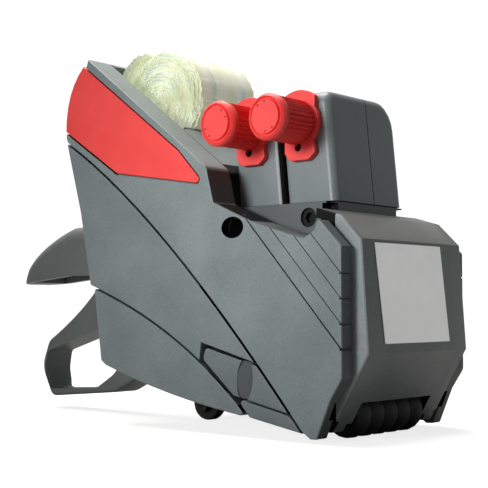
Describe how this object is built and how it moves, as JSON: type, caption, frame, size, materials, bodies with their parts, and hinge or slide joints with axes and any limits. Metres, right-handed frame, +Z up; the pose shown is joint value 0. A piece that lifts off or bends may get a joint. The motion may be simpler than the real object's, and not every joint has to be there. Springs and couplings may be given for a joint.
{
  "type": "price labeling gun",
  "caption": "Hand-held price labelling gun with grey shells, red side inlays, two print heads with red selector knobs, a squeeze lever, a label roll and a hinged front cover",
  "frame": {"origin": "centre of the bounding box in X and Y on the table plane, under the standing gun", "axes": "+X to the nose, +Y to the gun's left, +Z up"},
  "size_m": [0.1884, 0.0717, 0.1339],
  "materials": {
    "grey_plastic": "fine matte moulded texture",
    "dark_grey_plastic": "satin moulded plastic",
    "red_plastic": "smooth bright red plastic",
    "black_rubber": "matte black rubber",
    "bright_steel": "bright drawn steel",
    "label_paper": "matte paper labels on a release liner",
    "roll_core": "brown card tube"
  },
  "bodies": {
    "frame": {"upper_shell_right": "grey_plastic", "red_inlay_right": "red_plastic", "rear_shell_right": "grey_plastic", "lower_shell_right": "grey_plastic", "chassis_plate_right": "dark_grey_plastic", "bed_screw_right": "bright_steel", "upper_shell_left": "grey_plastic", "red_inlay_left": "red_plastic", "rear_shell_left": "grey_plastic", "lower_shell_left": "grey_plastic", "chassis_plate_left": "dark_grey_plastic", "bed_screw_left": "bright_steel", "head_case_front": "grey_plastic", "head_cap_front": "grey_plastic", "knob_bracket_front": "red_plastic", "head_case_rear": "grey_plastic", "head_cap_rear": "grey_plastic", "knob_bracket_rear": "red_plastic", "rear_wall": "grey_plastic", "head_bed": "grey_plastic", "bay_floor": "dark_grey_plastic", "bay_deck": "grey_plastic", "grip_handle": "grey_plastic", "lever_pin": "bright_steel", "lever_spring": "bright_steel", "plate_pin": "bright_steel", "roller_axle": "bright_steel", "roller_bracket": "bright_steel", "ink_cartridge": "dark_grey_plastic", "platen": "bright_steel", "peel_plate": "bright_steel", "wheel_axle": "bright_steel", "wheel_fork": "black_rubber"},
    "lever": {"squeeze_lever": "grey_plastic"},
    "cover": {"front_cover": "grey_plastic"},
    "applicator": {"applicator_roller": "black_rubber"},
    "rear_wheel": {"support_wheel": "black_rubber"},
    "roll": {"label_roll": "label_paper", "roll_core": "roll_core"},
    "latch": {"latch_pad_right": "grey_plastic", "latch_pad_left": "grey_plastic", "latch_bar": "dark_grey_plastic"},
    "bottom": {"bottom_plate": "grey_plastic"},
    "carriage": {"print_carriage": "dark_grey_plastic"},
    "feed": {"feed_shaft": "bright_steel", "feed_wheel": "black_rubber", "ratchet_wheel": "bright_steel"},
    "inker": {"ink_roller": "black_rubber"},
    "sleeve_front": {"knob_sleeve_front": "dark_grey_plastic"},
    "selector_front": {"knob_front": "red_plastic"},
    "type_front": {"type_wheels_front": "black_rubber"},
    "sleeve_rear": {"knob_sleeve_rear": "dark_grey_plastic"},
    "selector_rear": {"knob_rear": "red_plastic"},
    "type_rear": {"type_wheels_rear": "black_rubber"}
  },
  "joints": [
    {"name": "lever_hinge", "type": "hinge", "parent": "frame", "child": "lever", "pos_m": [0.03, 0, 0.026], "axis": [0, 1, 0], "range_deg": [0, 12.5], "stiffness_Nm_per_rad": 2, "springref_deg": -20.05},
    {"name": "cover_hinge", "type": "hinge", "parent": "frame", "child": "cover", "pos_m": [0.078, 0, 0.0052], "axis": [0, 1, 0], "range_deg": [0, 60]},
    {"name": "applicator_spin", "type": "hinge", "parent": "frame", "child": "applicator", "pos_m": [0.0758, 0, 0.0072], "axis": [0, 1, 0], "continuous": true},
    {"name": "rear_wheel_spin", "type": "hinge", "parent": "frame", "child": "rear_wheel", "pos_m": [0.0035, 0, 0.0063], "axis": [0, 1, 0], "continuous": true},
    {"name": "roll_spin", "type": "hinge", "parent": "frame", "child": "roll", "pos_m": [-0.0065, 0, 0.1152], "axis": [0, 1, 0], "continuous": true},
    {"name": "latch_slide", "type": "slide", "parent": "frame", "child": "latch", "axis": [-0.9837, 0, 0.18], "range_m": [0, 0.0014], "stiffness_N_per_m": 400, "springref_m": -0.004},
    {"name": "bottom_hinge", "type": "hinge", "parent": "frame", "child": "bottom", "pos_m": [0.048, 0, 0.008], "axis": [0, 1, 0], "range_deg": [0, 45]},
    {"name": "carriage_slide", "type": "slide", "parent": "frame", "child": "carriage", "axis": [0, 0, -1], "range_m": [0, 0.0075]},
    {"name": "feed_spin", "type": "hinge", "parent": "frame", "child": "feed", "pos_m": [0.059, 0, 0.0215], "axis": [0, 1, 0], "continuous": true},
    {"name": "ink_spin", "type": "hinge", "parent": "frame", "child": "inker", "pos_m": [0.0772, 0, 0.04], "axis": [0, 1, 0], "continuous": true},
    {"name": "knob_pull_front", "type": "slide", "parent": "frame", "child": "sleeve_front", "axis": [0, -1, 0], "range_m": [0, 0.006]},
    {"name": "knob_turn_front", "type": "hinge", "parent": "sleeve_front", "child": "selector_front", "pos_m": [0.0602, -0.0207, 0.1], "axis": [0, 1, 0], "continuous": true},
    {"name": "type_turn_front", "type": "hinge", "parent": "frame", "child": "type_front", "pos_m": [0.0621, 0, 0.0974], "axis": [0, 1, 0], "continuous": true},
    {"name": "knob_pull_rear", "type": "slide", "parent": "frame", "child": "sleeve_rear", "axis": [0, -1, 0], "range_m": [0, 0.006]},
    {"name": "knob_turn_rear", "type": "hinge", "parent": "sleeve_rear", "child": "selector_rear", "pos_m": [0.0394, -0.0207, 0.1], "axis": [0, 1, 0], "continuous": true},
    {"name": "type_turn_rear", "type": "hinge", "parent": "frame", "child": "type_rear", "pos_m": [0.0413, 0, 0.0974], "axis": [0, 1, 0], "continuous": true}
  ],
  "couplings": [
    {"joint": "carriage_slide", "follows": "lever_hinge", "m_per_rad": 0.03438},
    {"joint": "type_turn_front", "follows": "knob_turn_front", "ratio": -1},
    {"joint": "type_turn_rear", "follows": "knob_turn_rear", "ratio": -1}
  ]
}
